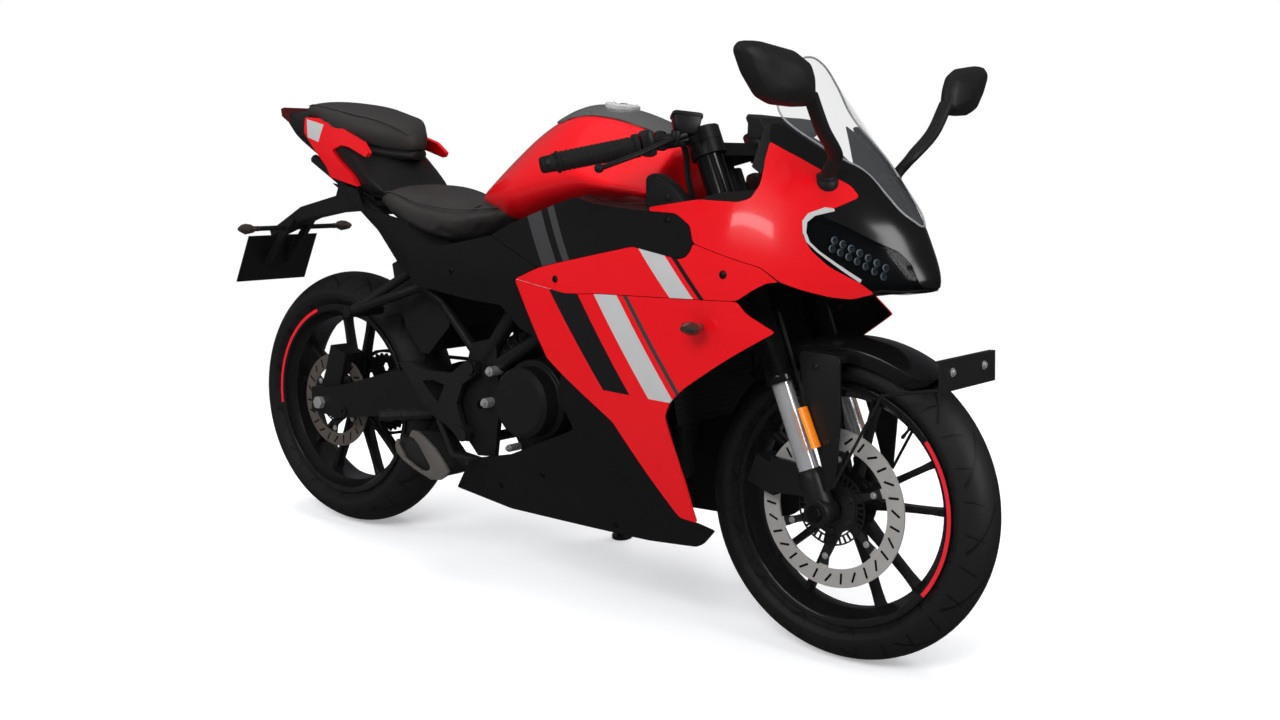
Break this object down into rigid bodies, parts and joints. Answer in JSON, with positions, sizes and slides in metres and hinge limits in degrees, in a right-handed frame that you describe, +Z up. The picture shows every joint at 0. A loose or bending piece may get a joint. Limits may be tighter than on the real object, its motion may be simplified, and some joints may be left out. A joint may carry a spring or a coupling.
{
  "type": "sport motorcycle",
  "caption": "Small faired sport motorcycle leaning on its side stand, with low clip-on bars, split seats, cast wheels, disc brakes and an under-slung silencer.",
  "frame": {"origin": "middle of the footprint of the parked machine, on the ground", "axes": "+X forward along the machine, +Y to the rider's left, the side it leans to, +Z up"},
  "size_m": [1.9916, 0.843, 1.1417],
  "materials": {
    "tyre_rubber": "worn matt rubber",
    "cast_black": "satin black cast wheel",
    "disc_steel": "turned brake disc steel",
    "chain_steel": "oiled dark steel",
    "fork_chrome": "hard chrome",
    "satin_black": "satin black paint",
    "axle_steel": "bright steel",
    "matt_plastic": "grained black plastic",
    "blank_plate": "blank plate on wire rods",
    "red_paint": "gloss red",
    "black_gloss": "gloss black",
    "smoked_lens": "smoked lamp cover",
    "clear_screen": "clear screen",
    "tank_weave": "woven texture under clear coat",
    "seat_vinyl": "dark grey vinyl",
    "red_lens": "red lens",
    "engine_alloy": "cast alloy",
    "radiator_alloy": "black core",
    "exhaust_steel": "dull steel",
    "foot_alloy": "dark cast alloy",
    "amber_lens": "amber lens"
  },
  "bodies": {
    "chassis": {"chain": "chain_steel", "rear_axle": "axle_steel", "upper_fairing": "red_paint", "side_fairing": "red_paint", "belly_pan": "black_gloss", "side_covers": "black_gloss", "nose_cowl": "black_gloss", "headlamp": "smoked_lens", "windscreen": "clear_screen", "mirrors": "matt_plastic", "instruments": "matt_plastic", "fuel_tank": "red_paint", "tank_cover": "tank_weave", "rider_seat": "seat_vinyl", "pillion_seat": "seat_vinyl", "tail_cowl": "red_paint", "tail_side": "black_gloss", "tail_base": "matt_plastic", "tail_lamp": "red_lens", "frame": "satin_black", "subframe": "satin_black", "swingarm": "satin_black", "rear_shock": "satin_black", "engine": "engine_alloy", "engine_covers": "satin_black", "radiator": "radiator_alloy", "exhaust": "exhaust_steel", "footrests": "foot_alloy", "inner_mudguard": "matt_plastic", "plate_hanger": "matt_plastic", "indicators": "amber_lens", "sprocket_cover": "matt_plastic", "rear_caliper": "satin_black"},
    "steering": {"fork_legs": "fork_chrome", "fork_clamps": "satin_black", "handlebars": "satin_black", "hand_controls": "satin_black", "front_axle": "axle_steel", "front_mudguard": "matt_plastic", "front_caliper": "satin_black", "front_plate": "blank_plate"},
    "front_wheel": {"front_tyre": "tyre_rubber", "front_rim": "cast_black", "front_disc": "disc_steel"},
    "rear_wheel": {"rear_tyre": "tyre_rubber", "rear_rim": "cast_black", "rear_disc": "disc_steel", "rear_sprocket": "chain_steel"},
    "stand": {"side_stand": "satin_black"},
    "cap": {"fuel_cap": "satin_black"}
  },
  "joints": [
    {"name": "steering_turn", "type": "hinge", "parent": "chassis", "child": "steering", "pos_m": [0.38402, -0.02373, 0.89985], "axis": [-0.4147, 0.1266, 0.9011], "range_deg": [-27, 27]},
    {"name": "front_wheel_spin", "type": "hinge", "parent": "steering", "child": "front_wheel", "pos_m": [0.70282, -0.10932, 0.29083], "axis": [0, 0.9903, -0.1392], "continuous": true},
    {"name": "rear_wheel_spin", "type": "hinge", "parent": "chassis", "child": "rear_wheel", "pos_m": [-0.65718, -0.10834, 0.29776], "axis": [0, 0.9903, -0.1392], "continuous": true},
    {"name": "side_stand_fold", "type": "hinge", "parent": "chassis", "child": "stand", "pos_m": [-0.04654, 0.02515, 0.24111], "axis": [-0.0284, 0.9686, 0.2472], "range_deg": [0, 82]},
    {"name": "fuel_cap_lift", "type": "hinge", "parent": "chassis", "child": "cap", "pos_m": [0.16898, -0.01079, 0.9919], "axis": [0, 0.9903, -0.1392], "range_deg": [0, 95]}
  ]
}
